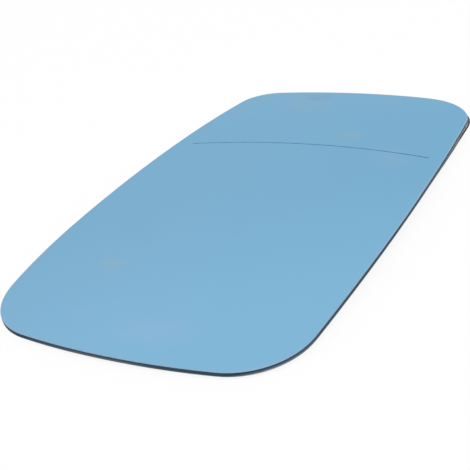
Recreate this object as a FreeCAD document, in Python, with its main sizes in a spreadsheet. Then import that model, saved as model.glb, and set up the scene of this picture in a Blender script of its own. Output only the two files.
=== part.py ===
import FreeCAD, Part
import math
import os

import Sketcher

# Millimetres and degrees. The glass lies face up, with its long axis along X and its outer end at +X.
sizes = {
    # each side of the glass: distance from the centre, lean and radius of its bow
    "outer_reach": 93.3,
    "outer_slant": 1.8,
    "outer_bow": 275,
    "upper_reach": 54.6,
    "upper_slant": -0.9,
    "upper_bow": 1105,
    "inner_reach": 93.6,
    "inner_slant": 2.4,
    "inner_bow": 221,
    "lower_reach": 54.2,
    "lower_slant": 2.1,
    "lower_bow": 772,
    # the upper side draws in towards its inner end: where that starts, and the radius of its bow
    "shoulder_start": 37.5,
    "shoulder_bow": 260,
    # corner radii, each named after the two sides that it joins
    "outer_upper_corner": 14.5,
    "upper_inner_corner": 24,
    "inner_lower_corner": 23.3,
    "lower_outer_corner": 25,
    # the bowed face: part of a ball, then a shorter radius past the dividing line
    "main_radius": 1260,
    "outer_radius": 850,
    "crown_offset": 4.3,
    "glass_thickness": 2.0,
    "arris": 0.4,
    # the dividing line: an arc scribed across the face with a round nose
    "line_offset": 36.7,
    "line_slant": 4,
    "line_bow": 288,
    "line_upper_length": 44.5,
    "line_lower_length": 49.3,
    "line_depth": 0.06,
    "line_nose": 0.3,
    "line_margin": 1.5,
    # the adhesive pad on the back, laid a little askew
    "pad_thickness": 0.8,
    "pad_inset": 1.6,
    "pad_corner": 20,
    "pad_turn": -1.1,
    "pad_slide_out": 0.6,
    "pad_slide_up": -0.6,
    # stock left round the outline until it is trimmed
    "trim_allowance": 6,
}

# The four sides in order round the outline, and the way each one faces.
sides = {"outer": 0, "upper": 90, "inner": 180, "lower": 270}

# The corners, with the two bows that each one joins, and the whole outline in order.
bends = {
    "outer_upper_corner": ("outer", "upper"),
    "upper_inner_corner": ("shoulder", "inner"),
    "inner_lower_corner": ("inner", "lower"),
    "lower_outer_corner": ("lower", "outer"),
}
around = (
    "outer", "outer_upper_corner", "upper", "shoulder", "upper_inner_corner",
    "inner", "inner_lower_corner", "lower", "lower_outer_corner",
)

start, end, centre = 1, 2, 3
sketch_origin = (-1, 1)
up = FreeCAD.Vector(0, 0, 1)

doc = FreeCAD.newDocument("DoorMirrorGlass")


def make_sheet():
    sheet = doc.addObject("Spreadsheet::Sheet", "Sizes")
    for row, (name, value) in enumerate(sizes.items(), start=1):
        sheet.set(f"A{row}", name)
        sheet.set(f"B{row}", str(value))
        sheet.setAlias(f"B{row}", name)
    doc.recompute()


def cells(text):
    # A name in braces stands for a cell of the sheet.
    return text.replace("{", "Sizes.").replace("}", "")


def new_sketch(body, name, role):
    sketch = body.newObject("Sketcher::SketchObject", name)
    plane = next(item for item in body.Origin.OriginFeatures if item.Role == role)
    sketch.AttachmentSupport = [(plane, "")]
    sketch.MapMode = "FlatFace"
    return sketch


def tie(sketch, kind, items, value, text):
    index = sketch.addConstraint(Sketcher.Constraint(kind, *items, value))
    sketch.setExpression(f"Constraints[{index}]", cells(text))


def tie_across(sketch, item, point, text):
    tie(sketch, "DistanceX", (*sketch_origin, item, point), sketch.getPoint(item, point).x, text)


def tie_along(sketch, item, point, text):
    tie(sketch, "DistanceY", (*sketch_origin, item, point), sketch.getPoint(item, point).y, text)


def tie_radius(sketch, item, text):
    tie(sketch, "Radius", (item,), sketch.Geometry[item].Radius, text)


def join(sketch, kind, *ends):
    sketch.addConstraint(Sketcher.Constraint(kind, *ends))


def arc(middle, radius, first, last):
    return Part.ArcOfCircle(Part.Circle(middle, up, radius), first, last)


def side_circle(side, inset):
    facing = math.radians(sides[side] + sizes[f"{side}_slant"])
    distance = sizes[f"{side}_reach"] - sizes[f"{side}_bow"]
    middle = FreeCAD.Vector(distance * math.cos(facing), distance * math.sin(facing), 0)
    return middle, sizes[f"{side}_bow"] - inset


def shoulder_circle(upper, inset):
    # The shoulder leaves the upper side without a break.
    middle, radius = upper
    shoulder_radius = sizes["shoulder_bow"] - inset
    leaving = math.acos((-sizes["shoulder_start"] - middle.x) / radius)
    way = FreeCAD.Vector(math.cos(leaving), math.sin(leaving), 0)
    return middle + way * (radius - shoulder_radius), shoulder_radius


def corner_circle(first, second, radius):
    # The corner's circle touches both bows' circles from inside.
    first_middle, first_radius = first
    second_middle, second_radius = second
    between = second_middle - first_middle
    reach = first_radius - radius
    other_reach = second_radius - radius
    along = (reach ** 2 - other_reach ** 2 + between.Length ** 2) / (2 * between.Length)
    across = math.sqrt(reach ** 2 - along ** 2)
    way = between.normalize()
    return first_middle + way * along + FreeCAD.Vector(-way.y, way.x, 0) * across, radius


def joint(one, other):
    # Two circles that touch from inside do so past the smaller one's centre.
    small, large = sorted((one, other), key=lambda circle: circle[1])
    way = small[0] - large[0]
    return math.atan2(way.y, way.x)


def draw_outline(sketch, corner=None, inset=None):
    # Bowed sides and a shoulder with a tangent arc at each corner; an inset keeps the sides' centres.
    step = sizes[inset] if inset else 0
    drop = f" - {{{inset}}}" if inset else ""
    circles = {side: side_circle(side, step) for side in sides}
    circles["shoulder"] = shoulder_circle(circles["upper"], step)
    for bend, (first, second) in bends.items():
        circles[bend] = corner_circle(circles[first], circles[second], sizes[corner or bend])
    count = len(around)
    for k, name in enumerate(around):
        middle, radius = circles[name]
        first = joint(circles[around[k - 1]], circles[name])
        last = joint(circles[name], circles[around[(k + 1) % count]])
        sketch.addGeometry(arc(middle, radius, first, last))
        if name in bends:
            tie_radius(sketch, k, f"{{{corner or name}}}")
        else:
            tie_radius(sketch, k, f"{{{name}_bow}}" + drop)
        if name in sides:
            distance = f"({{{name}_reach}} - {{{name}_bow}})"
            facing = f"({sides[name]} + {{{name}_slant}})"
            tie_across(sketch, k, centre, f"{distance} * cos{facing}")
            tie_along(sketch, k, centre, f"{distance} * sin{facing}")
        if name == "shoulder":
            tie_across(sketch, k, start, "-{shoulder_start}")
    for k in range(count):
        join(sketch, "Tangent", k, end, (k + 1) % count, start)


def bowed_sheet(body, depth, deeper):
    # A band of the bowed profile between two depths below the face, turned about the ball's centre line.
    sketch = new_sketch(body, "Profile", "XZ_Plane")
    sketch.setExpression(".AttachmentOffset.Base.x", cells("{crown_offset}"))
    sketch.setExpression(".AttachmentOffset.Base.y", cells("-{main_radius}"))

    outer_end = sizes["outer_reach"] + sizes["trim_allowance"] - sizes["crown_offset"]
    inner_end = -(sizes["inner_reach"] + sizes["trim_allowance"] + sizes["crown_offset"])
    change = sizes["line_offset"] + sizes["line_margin"] - sizes["crown_offset"]
    ball = FreeCAD.Vector(0, 0, 0)
    change_angle = math.acos(change / sizes["main_radius"])
    outer_middle = FreeCAD.Vector(math.cos(change_angle), math.sin(change_angle), 0)
    outer_middle.multiply(sizes["main_radius"] - sizes["outer_radius"])

    for text in (depth, deeper):
        below = sum(sizes[name] for name in text)
        less = "".join(f" - {{{name}}}" for name in text)
        main_radius = sizes["main_radius"] - below
        outer_radius = sizes["outer_radius"] - below
        inner_angle = math.acos(inner_end / main_radius)
        main = sketch.addGeometry(arc(ball, main_radius, change_angle, inner_angle))
        outer_angle = math.acos((outer_end - outer_middle.x) / outer_radius)
        outer = sketch.addGeometry(arc(outer_middle, outer_radius, outer_angle, change_angle))
        join(sketch, "Coincident", main, centre, *sketch_origin)
        tie_radius(sketch, main, "{main_radius}" + less)
        tie_radius(sketch, outer, "{outer_radius}" + less)
        join(sketch, "Tangent", outer, end, main, start)
        run = "({line_offset} + {line_margin} - {crown_offset})"
        tie_across(sketch, main, start, f"{run} * ({{main_radius}}{less}) / {{main_radius}}")

    upper_main, upper_outer, lower_main, lower_outer = range(4)
    for top, bottom, point, text in (
        (upper_main, lower_main, end, "-({inner_reach} + {trim_allowance} + {crown_offset})"),
        (upper_outer, lower_outer, start, "{outer_reach} + {trim_allowance} - {crown_offset}"),
    ):
        corner = sketch.getPoint(top, point)
        line = sketch.addGeometry(Part.LineSegment(corner, sketch.getPoint(bottom, point)))
        join(sketch, "Coincident", line, start, top, point)
        join(sketch, "Coincident", line, end, bottom, point)
        join(sketch, "Vertical", line)
        tie_across(sketch, line, start, text)

    sheet = body.newObject("PartDesign::Revolution", "BowedSheet")
    sheet.Profile = sketch
    sheet.ReferenceAxis = (sketch, ["H_Axis"])
    sheet.Midplane = True
    sheet.setExpression("Angle", cells("2 * asin(({upper_reach} + {lower_reach}) / {main_radius})"))
    doc.recompute()
    return sheet


def trim_to_outline(body, sketch, sheet):
    # Everything between the outline and a circle beyond the stock comes away.
    beyond = sizes["outer_reach"] + sizes["inner_reach"]
    stock = sketch.addGeometry(Part.Circle(FreeCAD.Vector(), up, beyond))
    join(sketch, "Coincident", stock, centre, *sketch_origin)
    tie_radius(sketch, stock, "{outer_reach} + {inner_reach}")
    trimmed = body.newObject("PartDesign::Pocket", "Trimmed")
    trimmed.Profile = sketch
    trimmed.Type = "ThroughAll"
    doc.recompute()
    check_cut(sheet, trimmed)
    return trimmed


def check_cut(before, after):
    if not after.Shape.Volume < before.Shape.Volume:
        raise RuntimeError(f"{after.Name} takes nothing away")


def rim_edges(shape):
    # Edges where an upright ground edge meets the face or the back.
    names = []
    for number, edge in enumerate(shape.Edges, start=1):
        faces = shape.ancestorsOfType(edge, Part.Face)
        upright = [isinstance(face.Surface, Part.Cylinder) for face in faces]
        if upright.count(True) == 1 and len(faces) == 2:
            names.append(f"Edge{number}")
    return names


def scribe_line(body, ground):
    # The line is a circle on the ball: its axis runs from the ball's centre through the middle of the bow.
    sketch = new_sketch(body, "LineNose", "XZ_Plane")
    lean = FreeCAD.Rotation(FreeCAD.Vector(0, 1, 0), 1)
    sketch.AttachmentOffset = FreeCAD.Placement(FreeCAD.Vector(), lean)
    sketch.setExpression(".AttachmentOffset.Base.x", cells("{crown_offset}"))
    sketch.setExpression(".AttachmentOffset.Base.y", cells("-{main_radius}"))
    sketch.setExpression(".AttachmentOffset.Rotation.Angle", cells("{line_slant}"))

    run = sizes["line_offset"] - sizes["crown_offset"]
    height = math.sqrt(sizes["main_radius"] ** 2 - run ** 2)
    lift = (sizes["main_radius"] + sizes["line_nose"] - sizes["line_depth"]) / sizes["main_radius"]
    run_text = "({line_offset} - {crown_offset})"
    height_text = f"sqrt({{main_radius}}^2 - {run_text}^2)"
    lift_text = "(({main_radius} + {line_nose} - {line_depth}) / {main_radius})"

    bow_middle = FreeCAD.Vector(run - sizes["line_bow"], height, 0)
    axis = sketch.addGeometry(Part.LineSegment(FreeCAD.Vector(), bow_middle), True)
    join(sketch, "Coincident", axis, start, *sketch_origin)
    tie_across(sketch, axis, end, f"{run_text} - {{line_bow}}")
    tie_along(sketch, axis, end, height_text)
    nose_middle = FreeCAD.Vector(run * lift, height * lift, 0)
    nose = sketch.addGeometry(Part.Circle(nose_middle, up, sizes["line_nose"]))
    tie_across(sketch, nose, centre, f"{run_text} * {lift_text}")
    tie_along(sketch, nose, centre, f"{height_text} * {lift_text}")
    tie_radius(sketch, nose, "{line_nose}")

    line = body.newObject("PartDesign::Groove", "DividingLine")
    line.Profile = sketch
    line.ReferenceAxis = (sketch, ["Axis0"])
    line.Type = "TwoAngles"
    slope = f"(({{line_bow}} - {run_text}) / {height_text})"
    turn = f"sqrt(1 + {slope}^2) / {{line_bow}} * 180 / pi"
    line.setExpression("Angle", cells(f"{{line_upper_length}} * {turn}"))
    line.setExpression("Angle2", cells(f"{{line_lower_length}} * {turn}"))
    doc.recompute()
    check_cut(ground, line)


def mirror_glass():
    body = doc.addObject("PartDesign::Body", "mirror_glass")
    sheet = bowed_sheet(body, (), ("glass_thickness",))
    outline = new_sketch(body, "Outline", "XY_Plane")
    draw_outline(outline)
    trimmed = trim_to_outline(body, outline, sheet)
    ground = body.newObject("PartDesign::Chamfer", "GroundEdge")
    ground.Base = (trimmed, rim_edges(trimmed.Shape))
    ground.setExpression("Size", cells("{arris}"))
    doc.recompute()
    check_cut(trimmed, ground)
    scribe_line(body, ground)
    return body


def adhesive_pad():
    body = doc.addObject("PartDesign::Body", "adhesive_pad")
    sheet = bowed_sheet(body, ("glass_thickness",), ("glass_thickness", "pad_thickness"))
    outline = new_sketch(body, "Outline", "XY_Plane")
    turned = FreeCAD.Rotation(up, 1)
    outline.AttachmentOffset = FreeCAD.Placement(FreeCAD.Vector(), turned)
    outline.setExpression(".AttachmentOffset.Base.x", cells("{pad_slide_out}"))
    outline.setExpression(".AttachmentOffset.Base.y", cells("{pad_slide_up}"))
    outline.setExpression(".AttachmentOffset.Rotation.Angle", cells("{pad_turn}"))
    draw_outline(outline, corner="pad_corner", inset="pad_inset")
    trim_to_outline(body, outline, sheet)
    return body


def lay_down(bodies):
    # The origin comes under the middle of the whole, at the height of the table.
    box = Part.makeCompound([body.Shape for body in bodies]).optimalBoundingBox()
    for body in bodies:
        body.Placement.Base = FreeCAD.Vector(-box.Center.x, -box.Center.y, -box.ZMin)
    doc.recompute()


def check_and_write(bodies):
    failed = [item.Label for item in doc.Objects if {"Invalid", "Error"} & set(item.State)]
    if failed:
        raise RuntimeError("not built: " + ", ".join(failed))
    os.makedirs("parts", exist_ok=True)
    for body in bodies:
        shape = body.Shape
        if shape.isNull() or not shape.isValid() or len(shape.Solids) != 1:
            raise RuntimeError(f"{body.Label} is not one sound solid")
        shape.exportStep(f"parts/{body.Label}.step")
        print(body.Label, round(shape.Volume, 1), "mm3", shape.BoundBox)


make_sheet()
pieces = [mirror_glass(), adhesive_pad()]
lay_down(pieces)
check_and_write(pieces)
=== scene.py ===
import bpy
import math
from mathutils import Matrix, Vector
from mathutils.bvhtree import BVHTree
from mathutils.geometry import delaunay_2d_cdt, interpolate_bezier


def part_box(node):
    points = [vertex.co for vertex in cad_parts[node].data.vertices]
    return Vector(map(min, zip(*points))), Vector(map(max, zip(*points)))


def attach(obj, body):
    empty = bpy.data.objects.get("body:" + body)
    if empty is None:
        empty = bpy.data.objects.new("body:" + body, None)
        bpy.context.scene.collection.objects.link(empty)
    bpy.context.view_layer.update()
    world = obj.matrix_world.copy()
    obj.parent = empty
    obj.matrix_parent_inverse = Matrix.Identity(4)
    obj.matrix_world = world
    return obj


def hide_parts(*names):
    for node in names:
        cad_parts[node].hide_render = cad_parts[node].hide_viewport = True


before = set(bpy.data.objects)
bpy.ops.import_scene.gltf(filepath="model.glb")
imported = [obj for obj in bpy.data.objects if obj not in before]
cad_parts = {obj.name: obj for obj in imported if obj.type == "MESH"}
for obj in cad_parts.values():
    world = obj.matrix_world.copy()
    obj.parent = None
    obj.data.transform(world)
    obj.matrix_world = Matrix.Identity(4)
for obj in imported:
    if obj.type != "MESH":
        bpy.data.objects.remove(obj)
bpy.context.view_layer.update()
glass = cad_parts["mirror_glass"]
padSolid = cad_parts["adhesive_pad"]
scene = bpy.context.scene
scene.view_settings.view_transform = "Standard"
print("frame loaded:", sorted(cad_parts))


# small helpers for the shader trees

plainWhite = (1, 1, 1, 1)
wideSpan = (0.3, 0.7)          # nearly all of a noise field lies in here
patchSpan = (0.35, 0.75)       # leaves the ground bare in parts, with soft patches on the rest


def newNode(tree, kind, **settings):
    node = tree.nodes.new(kind)
    for name, value in settings.items():
        setattr(node, name, value)
    return node


def plug(tree, source, socket):
    # a link from another node, or a plain value
    if hasattr(source, "is_output"):
        tree.links.new(source, socket)
    else:
        socket.default_value = source


def newNodeWith(tree, kind, source, **settings):
    node = newNode(tree, kind, **settings)
    plug(tree, source, node.inputs[0])
    return node


def startMaterial(name):
    material = bpy.data.materials.new(name)
    material.use_nodes = True
    tree = material.node_tree
    where = newNode(tree, "ShaderNodeTexCoord").outputs["Object"]
    return material, tree, tree.nodes["Principled BSDF"], where


def calc(tree, operation, *values):
    node = newNode(tree, "ShaderNodeMath", operation=operation)
    for socket, value in zip(node.inputs, values):
        plug(tree, value, socket)
    return node.outputs[0]


def apart(tree, where):
    return newNodeWith(tree, "ShaderNodeSeparateXYZ", where).outputs


def noise(tree, where, grain, detail=3.0, stretch=(1, 1, 1)):
    # grain is the size of one blotch in metres, stretch makes it longer along an axis
    spread = newNodeWith(tree, "ShaderNodeMapping", where)
    spread.inputs["Scale"].default_value = [1 / (grain * longer) for longer in stretch]
    field = newNodeWith(tree, "ShaderNodeTexNoise", spread.outputs[0])
    field.inputs["Scale"].default_value = 1.0
    field.inputs["Detail"].default_value = detail
    return field.outputs["Fac"]


def spanned(tree, value, low, high, toLow=0.0, toHigh=1.0):
    # goes softly from one end to the other while the value goes from low to high
    node = newNode(tree, "ShaderNodeMapRange", interpolation_type="SMOOTHSTEP")
    for name, number in (("From Min", low), ("From Max", high), ("To Min", toLow), ("To Max", toHigh)):
        node.inputs[name].default_value = number
    plug(tree, value, node.inputs["Value"])
    return node.outputs["Result"]


def blendColour(tree, amount, first, second):
    node = newNode(tree, "ShaderNodeMix", data_type="RGBA")
    sockets = [socket for socket in node.inputs if socket.type == "RGBA"]
    plug(tree, amount, node.inputs["Factor"])
    plug(tree, first, sockets[0])
    plug(tree, second, sockets[1])
    return [socket for socket in node.outputs if socket.type == "RGBA"][0]


def setSurface(tree, shader, tone, field, roughness):
    # a noise field moves the roughness between its two ends
    plug(tree, tone, shader.inputs["Base Color"])
    plug(tree, spanned(tree, field, *wideSpan, *roughness), shader.inputs["Roughness"])


def bumped(tree, shader, height, depth):
    # depth is what a height of 1 stands for, in metres
    node = newNode(tree, "ShaderNodeBump")
    node.inputs["Strength"].default_value = 1.0
    node.inputs["Distance"].default_value = depth
    plug(tree, height, node.inputs["Height"])
    plug(tree, node.outputs["Normal"], shader.inputs["Normal"])


def rgb(red, green, blue):
    # a colour read off as 0 to 255, as the shader wants it
    def linear(level):
        level = level / 255
        return level / 12.92 if level <= 0.04045 else ((level + 0.055) / 1.055) ** 2.4
    return (linear(red), linear(green), linear(blue), 1.0)


# camera: a hand-held view from past the inner end, leaning a little
camera = {
    "place": (-0.25827, -0.16428, 0.15652),
    "heading": -55.467,        # degrees
    "downward": 28.467,
    "lean": -10.01,
    "lens": 76.6,              # millimetres
    "sensor": 36.0,
    "nearest": 0.01,
}


def makeCamera():
    data = bpy.data.cameras.new("photoCamera")
    data.lens = camera["lens"]
    data.sensor_width = camera["sensor"]
    data.clip_start = camera["nearest"]
    eye = bpy.data.objects.new("photoCamera", data)
    heading = Matrix.Rotation(math.radians(camera["heading"]), 4, "Z")
    tilt = Matrix.Rotation(math.radians(90 - camera["downward"]), 4, "X")
    lean = Matrix.Rotation(math.radians(camera["lean"]), 4, "Z")
    eye.matrix_world = Matrix.Translation(camera["place"]) @ heading @ tilt @ lean
    scene.collection.objects.link(eye)
    scene.camera = eye


makeCamera()
print("camera set")


# a soft oval, for marks on the face and for stretches of the edge that differ
ovalBorder = {
    "fullTo": 0.35,            # shares of the way from the oval's middle to its rim
    "goneFrom": 1.25,
    "ragged": 1.2,             # how far the border is pushed in and out, as a share
    "grain": 0.004,
}


def softOval(tree, where, middle, half, turn, amount):
    # half is half the length and half the width, turn is in degrees
    oval = newNodeWith(tree, "ShaderNodeMapping", where, vector_type="TEXTURE")
    oval.inputs["Location"].default_value = (*middle, 0)
    oval.inputs["Rotation"].default_value = (0, 0, math.radians(turn))
    oval.inputs["Scale"].default_value = (*half, 1)
    away = newNodeWith(tree, "ShaderNodeVectorMath", oval.outputs[0], operation="LENGTH")
    out = calc(tree, "ADD", away.outputs["Value"], -0.5 * ovalBorder["ragged"])
    out = calc(tree, "MULTIPLY_ADD", noise(tree, where, ovalBorder["grain"]), ovalBorder["ragged"], out)
    shows = spanned(tree, out, ovalBorder["fullTo"], ovalBorder["goneFrom"], 1.0, 0.0)
    return calc(tree, "MULTIPLY", shows, amount)


# the mirror coat: blue metal film, a little redder towards the upper edge, with faint wipe marks
coat = {
    "upperTint": (0.240, 0.474, 0.684, 1.0),
    "lowerTint": (0.223, 0.472, 0.686, 1.0),
    "slantTint": (0.65, 0.80, 0.895, 1.0),     # at a low angle
    "drift": 0.05,                             # from the middle to where a tint is full
    "cloud": 0.03,                             # size of the clouds that make the drift uneven
    "cloudShift": 0.8,
    "haze": 0.012,
    "hazeSpan": (0.3, 1.0),
    "markHaze": 0.5,                           # what a wipe mark adds to the haze
    "roughness": (0.05, 0.075),
    "warm": (0.262, 0.474, 0.645, 1.0),
    "rosy": (0.258, 0.474, 0.682, 1.0),
    "dull": (0.222, 0.460, 0.672, 1.0),
    "grey": (0.235, 0.415, 0.610, 1.0),
    "marks": [                                 # tint, then its oval: middle, half sizes, turn, amount
        ("warm", (-0.0543, 0.0243), (0.0066, 0.0042), 75, 0.95),
        ("warm", (0.0765, 0.0190), (0.0125, 0.0085), 45, 0.9),
        ("warm", (0.0487, -0.0115), (0.0066, 0.0052), 67, 0.9),
        ("rosy", (0.0325, -0.0345), (0.0095, 0.0070), 34, 0.65),
        ("rosy", (-0.0805, -0.0086), (0.0150, 0.0065), -78, 0.65),
        ("rosy", (-0.0789, 0.0181), (0.0062, 0.0038), 89, 0.5),
        ("dull", (-0.0322, 0.0293), (0.0220, 0.0070), 35, 0.35),
        ("grey", (0.0851, 0.0188), (0.0058, 0.0042), -83, 0.8),
    ],
}


def mirrorCoat():
    material, tree, shader, where = startMaterial("mirrorCoat")
    across = spanned(tree, apart(tree, where)["Y"], -coat["drift"], coat["drift"])
    cloud = noise(tree, where, coat["cloud"], detail=2.0)
    shift = calc(tree, "MULTIPLY_ADD", cloud, coat["cloudShift"], -0.5 * coat["cloudShift"])
    tint = blendColour(tree, calc(tree, "ADD", across, shift), coat["lowerTint"], coat["upperTint"])
    soiled = 0.0
    for markTint, *oval in coat["marks"]:
        amount = softOval(tree, where, *oval)
        tint = blendColour(tree, amount, tint, coat[markTint])
        soiled = calc(tree, "ADD", amount, soiled)
    haze = noise(tree, where, coat["haze"], detail=4.0)
    haze = calc(tree, "MULTIPLY_ADD", soiled, coat["markHaze"], haze)
    plug(tree, tint, shader.inputs["Base Color"])
    plug(tree, spanned(tree, haze, *coat["hazeSpan"], *coat["roughness"]), shader.inputs["Roughness"])
    shader.inputs["Metallic"].default_value = 1.0
    shader.inputs["Specular Tint"].default_value = coat["slantTint"]
    return material


# the bow of the face, as the solid has it
bow = {
    "radius": 1.26,
    "outerRadius": 0.85,       # past the dividing line
    "outerStart": 0.03836,
    "crown": 0.00446,          # where along the glass the face is highest
}


def depthBelowFace(tree, where):
    # the face falls with the square of the way from its crown, and faster past the dividing line
    place = apart(tree, where)
    along = calc(tree, "SUBTRACT", place["X"], bow["crown"])
    square = calc(tree, "MULTIPLY_ADD", along, along, calc(tree, "MULTIPLY", place["Y"], place["Y"]))
    past = calc(tree, "MAXIMUM", calc(tree, "SUBTRACT", place["X"], bow["outerStart"]), 0.0)
    innerFall = 0.5 / bow["radius"]
    outerFall = 0.5 / bow["outerRadius"] - innerFall
    extra = calc(tree, "MULTIPLY", calc(tree, "MULTIPLY", past, past), outerFall)
    fall = calc(tree, "MULTIPLY_ADD", square, innerFall, extra)
    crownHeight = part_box("mirror_glass")[1][2]
    return calc(tree, "SUBTRACT", calc(tree, "SUBTRACT", crownHeight, fall), place["Z"])


# the ground rim: the edge, and the narrow arris above and below it
edge = {
    "topTone": rgb(46, 63, 79),
    "footTone": rgb(91, 103, 114),
    "footDepth": (0.0009, 0.0016),             # the top tone goes over into the foot's between these
    "paleDepth": (0.0016, 0.0019),             # and the foot's into the lower arris's
    "streakTone": rgb(73, 100, 119),
    "streakHeight": 0.00009,
    "streakLength": 60,                        # times its height
    "streakSpan": (0.45, 0.75),
    "streakShare": (0.2, 0.6),
    "blotch": 0.006,
    "roughness": (0.35, 0.6),
    "gloss": 0.08,
    "bump": 0.00002,
    # stretches are soft ovals: middle, half sizes, turn, amount
    "footRise": 0.0006,
    "footStretches": [                         # the pale foot reaches higher, or lower if below 0
        ((-0.0935, -0.0010), (0.0050, 0.0170), 0, 0.35),
        ((-0.0810, -0.0485), (0.0150, 0.0090), -38, 0.6),
        ((0.0640, -0.0490), (0.0320, 0.0080), 8, 0.4),
        ((-0.0880, 0.0400), (0.0140, 0.0200), 20, -0.9),
        ((-0.0900, -0.0290), (0.0090, 0.0170), 8, -0.35),
    ],
    "darkTone": rgb(0, 18, 32),
    "darkStretches": [
        ((0.0600, -0.0490), (0.0300, 0.0100), 8, 0.9),
        ((-0.0870, 0.0420), (0.0140, 0.0180), 20, 0.9),
        ((-0.0100, -0.0530), (0.0480, 0.0100), 0, 0.5),
        ((-0.0845, -0.0440), (0.0090, 0.0110), 20, 0.45),
    ],
    "upperArrisTone": rgb(130, 170, 199),
    "upperArrisGlint": rgb(147, 180, 204),
    "turnTone": rgb(8, 44, 66),                # where the upper arris turns into the edge
    "turnDepth": (0.00028, 0.0005),
    "narrowBy": 0.00008,                       # how much less of the upper arris shows there
    "narrowStretch": ((0.0180, -0.0530), (0.0220, 0.0100), 3, 0.7),
    "lowerArrisTone": rgb(168, 172, 176),
    "lowerArrisDirt": rgb(120, 124, 128),
    "paintedLightTone": rgb(226, 229, 232),           # painted light: the lower arris is near white in this stretch, to read lighter than its shade
    "paintedLightStretch": ((-0.0880, -0.0360), (0.0110, 0.0230), 15, 1.0),
    "grit": 0.00012,
    "gritSpan": (0.35, 0.7),
    "chip": 0.0025,
    "chipShare": (0.25, 1.0),
    "arrisRoughness": (0.3, 0.5),
    "arrisGloss": 0.25,
}


def groundEdge():
    material, tree, shader, where = startMaterial("groundEdge")
    depth = depthBelowFace(tree, where)
    place = apart(tree, where)
    # with the depth for a height, the streaks follow the bow
    level = newNode(tree, "ShaderNodeCombineXYZ")
    for axis, source in (("X", place["X"]), ("Y", place["Y"]), ("Z", depth)):
        plug(tree, source, level.inputs[axis])
    longer = edge["streakLength"]
    streaks = noise(tree, level.outputs[0], edge["streakHeight"], stretch=(longer, longer, 1))
    blotches = noise(tree, where, edge["blotch"])
    for oval in edge["footStretches"]:
        depth = calc(tree, "MULTIPLY_ADD", softOval(tree, where, *oval), edge["footRise"], depth)
    top = edge["topTone"]
    for oval in edge["darkStretches"]:
        top = blendColour(tree, softOval(tree, where, *oval), top, edge["darkTone"])
    tone = blendColour(tree, spanned(tree, depth, *edge["footDepth"]), top, edge["footTone"])
    tone = blendColour(tree, spanned(tree, depth, *edge["paleDepth"]), tone, edge["lowerArrisTone"])
    streaked = calc(tree, "MULTIPLY", spanned(tree, streaks, *edge["streakSpan"]),
                    spanned(tree, blotches, *wideSpan, *edge["streakShare"]))
    tone = blendColour(tree, streaked, tone, edge["streakTone"])
    setSurface(tree, shader, tone, streaks, edge["roughness"])
    shader.inputs["Specular IOR Level"].default_value = edge["gloss"]
    bumped(tree, shader, streaks, edge["bump"])
    return material


def gritty(tree, where, tone, specksAndGlint):
    # an arris is grey from fine grit, more so where it is chipped; on the upper arris the same pattern
    # carries a lighter painted glint instead
    grit = noise(tree, where, edge["grit"])
    chips = noise(tree, where, edge["chip"], detail=2.0)
    amount = calc(tree, "MULTIPLY", spanned(tree, grit, *edge["gritSpan"]),
                  spanned(tree, chips, *wideSpan, *edge["chipShare"]))
    return grit, blendColour(tree, amount, tone, specksAndGlint)


def setArris(tree, shader, tone, grit):
    setSurface(tree, shader, tone, grit, edge["arrisRoughness"])
    shader.inputs["Specular IOR Level"].default_value = edge["arrisGloss"]
    bumped(tree, shader, grit, edge["bump"])


def upperArris():
    material, tree, shader, where = startMaterial("upperArris")
    # the lighter specks on the upper arris are a painted glint
    grit, tone = gritty(tree, where, edge["upperArrisTone"], edge["upperArrisGlint"])
    narrower = softOval(tree, where, *edge["narrowStretch"])
    depth = calc(tree, "MULTIPLY_ADD", narrower, edge["narrowBy"], depthBelowFace(tree, where))
    tone = blendColour(tree, spanned(tree, depth, *edge["turnDepth"]), tone, edge["turnTone"])
    setArris(tree, shader, tone, grit)
    return material


def lowerArris():
    material, tree, shader, where = startMaterial("lowerArris")
    grit, tone = gritty(tree, where, edge["lowerArrisTone"], edge["lowerArrisDirt"])
    # painted light: in this stretch the shaded lower arris turns near white
    tone = blendColour(tree, softOval(tree, where, *edge["paintedLightStretch"]), tone, edge["paintedLightTone"])
    setArris(tree, shader, tone, grit)
    return material


# the dividing line, scribed through the coat along an arc
line = {
    "centre": Vector((-0.25066, -0.01773)),
    "radius": 0.2881,
    "reach": 0.00026,          # to either side of the arc
    "lowEnd": -0.0471,
    "highEnd": 0.0464,
    "deepTone": rgb(0, 66, 104),
    "faintTone": rgb(6, 94, 138),
    "wear": 0.005,
    "roughness": (0.4, 0.6),
    "gloss": 0.15,
}


def scribedLine():
    material, tree, shader, where = startMaterial("scribedLine")
    wear = noise(tree, where, line["wear"], detail=4.0)
    tone = blendColour(tree, spanned(tree, wear, *patchSpan), line["deepTone"], line["faintTone"])
    setSurface(tree, shader, tone, wear, line["roughness"])
    shader.inputs["Specular IOR Level"].default_value = line["gloss"]
    return material


# the back of the glass, sprayed dark over the metal film
back = {
    "tone": rgb(38, 40, 43),
    "thinTone": rgb(54, 57, 60),
    "patch": 0.015,
    "roughness": (0.45, 0.65),
    "peel": 0.0006,
    "peelDepth": 0.00003,
}


def backPaint():
    material, tree, shader, where = startMaterial("backPaint")
    peel = noise(tree, where, back["peel"], detail=2.0)
    patchy = noise(tree, where, back["patch"], detail=4.0)
    tone = blendColour(tree, spanned(tree, patchy, *patchSpan), back["tone"], back["thinTone"])
    setSurface(tree, shader, tone, patchy, back["roughness"])
    bumped(tree, shader, peel, back["peelDepth"])
    return material


# how far facets look up, as the upright part of their normal
facing = {
    "flat": 0.9,               # the face and the back are flatter than this
    "upright": 0.3,            # walls are steeper than this, and an arris lies in between
    "groove": 0.75,            # the sides of the scribed line are flatter than this
}


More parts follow.
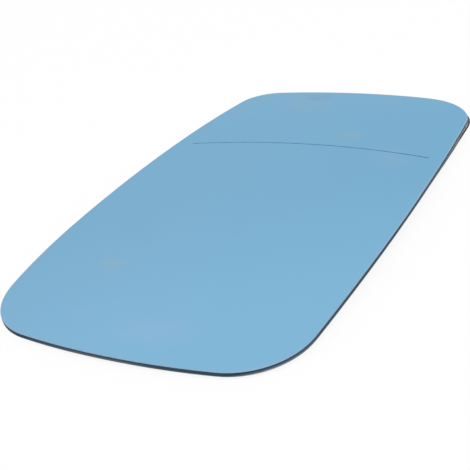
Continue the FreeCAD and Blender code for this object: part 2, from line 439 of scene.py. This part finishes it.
def finishOf(facet):
    lift = facet.normal.z
    if lift > facing["groove"] and line["lowEnd"] < facet.center.y < line["highEnd"]:
        off = (facet.center.xy - line["centre"]).length - line["radius"]
        if abs(off) < line["reach"]:
            return "scribedLine"
    if lift > facing["flat"]:
        return "mirrorCoat"
    if lift > facing["upright"]:
        return "upperArris"
    if lift > -facing["upright"]:
        return "groundEdge"
    if lift > -facing["flat"]:
        return "lowerArris"
    return "backPaint"


def dress(mesh, materials, finishes):
    # one finish for each facet, by its material's name
    mesh.materials.clear()
    for material in materials:
        mesh.materials.append(material)
    names = [material.name for material in materials]
    for facet, finish in zip(mesh.polygons, finishes):
        facet.material_index = names.index(finish)


glassFinishes = [mirrorCoat(), scribedLine(), upperArris(), groundEdge(), lowerArris(), backPaint()]
dress(glass.data, glassFinishes, [finishOf(facet) for facet in glass.data.polygons])
print("glass dressed:", len(glassFinishes), "finishes")


# the foam pad: die-cut closed-cell foam, stuck to the hollow back of the glass
foam = {
    "step": 0.0012,            # between points along the cut
    "grid": 0.004,             # between points on the faces
    "curvePoints": 24,         # from one point of the solid's wall to the next
    "lip": 0.00025,            # how far the cut corners are rounded over
    "waist": 0.00006,          # how far the cut pulls in at half its height
    "section": [               # share of the height going down, then shares of the lip and of the waist
        (0.00, 1.00, 0), (0.05, 0.45, 0), (0.18, 0, 0), (0.50, 0, 1),
        (0.82, 0, 0), (0.95, 0.45, 0), (1.00, 1.00, 0),
    ],
    "wander": 0.00004,         # how far the cut strays from its line
    "waves": [                 # of the stray: how many go round the pad, share, start
        (17, 0.5, 1), (41, 0.3, 0), (89, 0.2, 0),
    ],
    "clear": 0.00002,          # left free under the glass
    "within": 0.0001,          # how far inside its wall the solid's height is read
    "tone": rgb(7, 7, 8),
    "paleTone": rgb(20, 20, 22),
    "paleShare": (0.3, 1.0),
    "cell": 0.00022,
    "cellSpan": (0.1, 0.7),
    "cellDepth": 0.00005,
    "patch": 0.007,
    "roughness": (0.78, 0.92),
    "gloss": 0.3,
    "dustAndSheenTone": rgb(124, 127, 134),
    "dustAndSheenAlong": (0.0645, 0.057),              # dust with a painted sheen lies on the lower cut, up to near the corner
    "dustAndSheenAcross": (-0.045, -0.048),
    "dustAndSheenSpan": (0.25, 0.75),
    "dustAndSheenShare": (0.5, 1.0),
    # painted sheen: the pad's upward front is near white, as if lit from above, greyer where dirty
    "stickySheenTone": rgb(214, 219, 227),
    "dirtySheenTone": rgb(172, 177, 185),
    "stickyRoughness": (0.3, 0.5),
    "dirt": 0.0015,
    "dirtSpan": (0.35, 0.7),
    "sheenEndsAlong": (0.071, 0.076),              # past here the painted sheen stops and the front takes the dark foam tone
}


def padFoam(name, withDustAndSheen):
    material, tree, shader, where = startMaterial(name)
    cells = newNodeWith(tree, "ShaderNodeTexVoronoi", where)
    cells.inputs["Scale"].default_value = 1 / foam["cell"]
    pits = spanned(tree, cells.outputs["Distance"], *foam["cellSpan"])
    patchy = noise(tree, where, foam["patch"], detail=4.0)
    pale = calc(tree, "MULTIPLY", pits, spanned(tree, patchy, *wideSpan, *foam["paleShare"]))
    tone = blendColour(tree, pale, foam["tone"], foam["paleTone"])
    if withDustAndSheen:
        # dust and painted sheen: the lower cut turns paler grey up to near the corner
        place = apart(tree, where)
        dustAndSheenArea = calc(tree, "MULTIPLY", spanned(tree, place["X"], *foam["dustAndSheenAlong"]),
                    spanned(tree, place["Y"], *foam["dustAndSheenAcross"]))
        patches = spanned(tree, patchy, *foam["dustAndSheenSpan"], *foam["dustAndSheenShare"])
        tone = blendColour(tree, calc(tree, "MULTIPLY", dustAndSheenArea, patches), tone, foam["dustAndSheenTone"])
    setSurface(tree, shader, tone, patchy, foam["roughness"])
    shader.inputs["Specular IOR Level"].default_value = foam["gloss"]
    bumped(tree, shader, pits, foam["cellDepth"])
    return material


def stickyFace():
    # the adhesive on the pad's front where it shows past the glass: a painted sheen of light falling on
    # it from above, greyed by dirt in patches
    material, tree, shader, where = startMaterial("stickyFace")
    dirt = noise(tree, where, foam["dirt"], detail=4.0)
    soiled = spanned(tree, dirt, *foam["dirtSpan"])
    tone = blendColour(tree, soiled, foam["stickySheenTone"], foam["dirtySheenTone"])
    pastSheen = spanned(tree, apart(tree, where)["X"], *foam["sheenEndsAlong"])
    tone = blendColour(tree, pastSheen, tone, foam["paleTone"])
    setSurface(tree, shader, tone, dirt, foam["stickyRoughness"])
    return material


def cutLine(node):
    # the upright wall of a node in plan, as even points with the way out at each
    mesh = node.data
    wall = {}
    for facet in mesh.polygons:
        if abs(facet.normal.z) < facing["upright"]:
            for corner in facet.loop_indices:
                spot = mesh.vertices[mesh.loops[corner].vertex_index].co.xy
                out = mesh.corner_normals[corner].vector.xy.normalized()
                bearing = round(math.atan2(spot.y, spot.x), 3)     # one for the wall's top and foot
                wall[bearing] = (spot.copy(), out)
    knots = [wall[bearing] for bearing in sorted(wall)]
    fine = []
    for (spot, out), (nextSpot, nextOut) in zip(knots, knots[1:] + knots[:1]):
        reach = (nextSpot - spot).length / 3
        handle = spot + reach * out.orthogonal()
        nextHandle = nextSpot - reach * nextOut.orthogonal()
        fine += interpolate_bezier(spot, handle, nextHandle, nextSpot, foam["curvePoints"])[:-1]
    return evenly(fine, foam["step"])


def evenly(fine, step):
    # points at even steps round a closed run of close points, with the way out at each
    lengths = [(b - a).length for a, b in zip(fine, fine[1:] + fine[:1])]
    count = round(sum(lengths) / step)
    step = sum(lengths) / count
    spots = []
    travelled = 0.0
    for spot, nextSpot, length in zip(fine, fine[1:] + fine[:1], lengths):
        while len(spots) < count and len(spots) * step <= travelled + length:
            spots.append(spot.lerp(nextSpot, (len(spots) * step - travelled) / length))
        travelled += length
    ways = []
    for k in range(count):
        along = spots[(k + 1) % count] - spots[k - 1]
        ways.append(Vector((along.y, -along.x)).normalized())
    return spots, ways


def strayAt(turn):
    waves = [share * math.sin(count * turn + start) for count, share, start in foam["waves"]]
    return foam["wander"] * sum(waves)


def cutRows(spots, ways):
    # the cut in plan at each height of its section
    turns = [2 * math.pi * k / len(spots) for k in range(len(spots))]
    rows = []
    for _, lipShare, waistShare in foam["section"]:
        inset = lipShare * foam["lip"] + waistShare * foam["waist"] + foam["wander"]
        row = []
        for spot, way, turn in zip(spots, ways, turns):
            row.append(spot - way * (inset + strayAt(turn)))
        rows.append(row)
    return rows


def filledFace(loop, grid):
    # plan points inside a round-cornered loop, ring within ring, and the triangles between them
    span = max(spot.length for spot in loop)
    step = (loop[1] - loop[0]).length
    rings = int(span / grid)
    spots = list(loop)
    for ring in range(1, rings):
        share = 1 - ring / rings
        skip = max(1, round(grid / (step * share)))
        spots += [spot * share for spot in loop[::skip]]
    spots.append(Vector((0, 0)))
    border = [(k, (k + 1) % len(loop)) for k in range(len(loop))]
    insideOnly = 1
    found = delaunay_2d_cdt(spots, border, [], insideOnly, 1e-9)
    source = [group[0] for group in found[3]]
    return spots, [[source[v] for v in triangle] for triangle in found[2]]


def facesOf(node):
    # tells how high the upper and the lower face of a node lie at a spot in plan
    mesh = node.data
    skin = BVHTree.FromPolygons([v.co for v in mesh.vertices], [p.vertices for p in mesh.polygons])
    down = Vector((0, 0, -1))

    def heights(spot):
        above = skin.ray_cast(Vector((*spot, 1)), down)[0]
        below = skin.ray_cast(Vector((*spot, -1)), -down)[0]
        return above.z - foam["clear"], below.z

    return heights


def makePad():
    spots, ways = cutLine(padSolid)
    heights = facesOf(padSolid)
    rows = cutRows(spots, ways)
    count = len(spots)
    points = []
    facets = []
    finishes = []
    for (share, _, _), row in zip(foam["section"], rows):
        for spot, way in zip(row, ways):
            high, low = heights(spot - way * foam["within"])
            points.append((spot.x, spot.y, high + share * (low - high)))
    lastRow = count * (len(rows) - 1)
    for first in range(0, lastRow, count):
        for k in range(count):
            a = first + k
            b = first + (k + 1) % count
            facets.append((a, a + count, b + count, b))
            finishes.append("padCut")
    # the front, which lies against the glass, and the back
    for row, first, side, finish in ((rows[0], 0, 0, "stickyFace"), (rows[-1], lastRow, 1, "padBack")):
        flat, triangles = filledFace(row, foam["grid"])
        start = len(points) - count
        for spot in flat[count:]:
            points.append((spot.x, spot.y, heights(spot)[side]))
        for triangle in triangles:
            corners = [first + v if v < count else start + v for v in triangle]
            facets.append(corners if side == 0 else corners[::-1])
            finishes.append(finish)
    sheet = bpy.data.meshes.new("foamPad")
    sheet.from_pydata(points, [], facets)
    sheet.shade_smooth()
    padFinishes = [padFoam("padBack", withDustAndSheen=False), padFoam("padCut", withDustAndSheen=True), stickyFace()]
    dress(sheet, padFinishes, finishes)
    piece = bpy.data.objects.new("foamPad", sheet)
    scene.collection.objects.link(piece)
    return piece


foamPad = makePad()
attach(foamPad, "root")
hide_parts("adhesive_pad")
print("foam pad made:", len(foamPad.data.polygons), "facets")


# floor, world and lamp
studio = {
    "floorSize": 6.0,
    "floorTone": 0.97,
    "floorRoughness": 0.9,
    "glow": 0.9,               # share of the floor that shows as plain white
    "world": 0.72,
    "lowSky": 0.915,           # what the face mirrors low down, behind its far end
    "skyRise": (0.42, 0.66),   # from the low sky to plain white
    "lampPlace": (-1.4, -1.2, 2.9),
    "lampSize": 2.6,
    "lampPower": 46.0,
}


def seenWhite(tree):
    # 1 where the camera looks, straight or by way of the mirror
    path = newNode(tree, "ShaderNodeLightPath").outputs
    seen = calc(tree, "MAXIMUM", path["Is Camera Ray"], path["Is Glossy Ray"])
    return calc(tree, "MAXIMUM", seen, path["Is Transmission Ray"])


def mixShaders(tree, amount, first, second, output):
    mix = newNodeWith(tree, "ShaderNodeMixShader", amount)
    plug(tree, first.outputs[0], mix.inputs[1])
    plug(tree, second.outputs[0], mix.inputs[2])
    plug(tree, mix.outputs[0], tree.nodes[output].inputs["Surface"])


def makeFloor():
    bpy.ops.mesh.primitive_plane_add(size=studio["floorSize"])
    floor = bpy.context.object
    floor.name = "floor"
    material, tree, shader, _ = startMaterial("paleFloor")
    shader.inputs["Base Color"].default_value = (studio["floorTone"],) * 3 + (1,)
    shader.inputs["Roughness"].default_value = studio["floorRoughness"]
    shader.inputs["Specular IOR Level"].default_value = 0.0
    glow = newNode(tree, "ShaderNodeEmission")
    shown = calc(tree, "MULTIPLY", seenWhite(tree), studio["glow"])
    mixShaders(tree, shown, shader, glow, "Material Output")
    floor.data.materials.append(material)


def makeWorld():
    world = bpy.data.worlds.new("studio")
    world.use_nodes = True
    scene.world = world
    tree = world.node_tree
    light = tree.nodes["Background"]
    light.inputs["Color"].default_value = plainWhite
    light.inputs["Strength"].default_value = studio["world"]
    white = newNode(tree, "ShaderNodeBackground")
    white.inputs["Color"].default_value = plainWhite
    way = apart(tree, newNode(tree, "ShaderNodeTexCoord").outputs["Generated"])
    sky = spanned(tree, way["Z"], *studio["skyRise"], studio["lowSky"], 1.0)
    plug(tree, sky, white.inputs["Strength"])
    mixShaders(tree, seenWhite(tree), light, white, "World Output")


def makeLamp():
    data = bpy.data.lights.new("softbox", "AREA")
    data.size = studio["lampSize"]
    data.energy = studio["lampPower"]
    lamp = bpy.data.objects.new("softbox", data)
    lamp.location = studio["lampPlace"]
    lamp.rotation_euler = (-Vector(studio["lampPlace"])).to_track_quat("-Z", "Y").to_euler()
    lamp.visible_glossy = False
    scene.collection.objects.link(lamp)


makeFloor()
makeWorld()
makeLamp()
print("studio set")
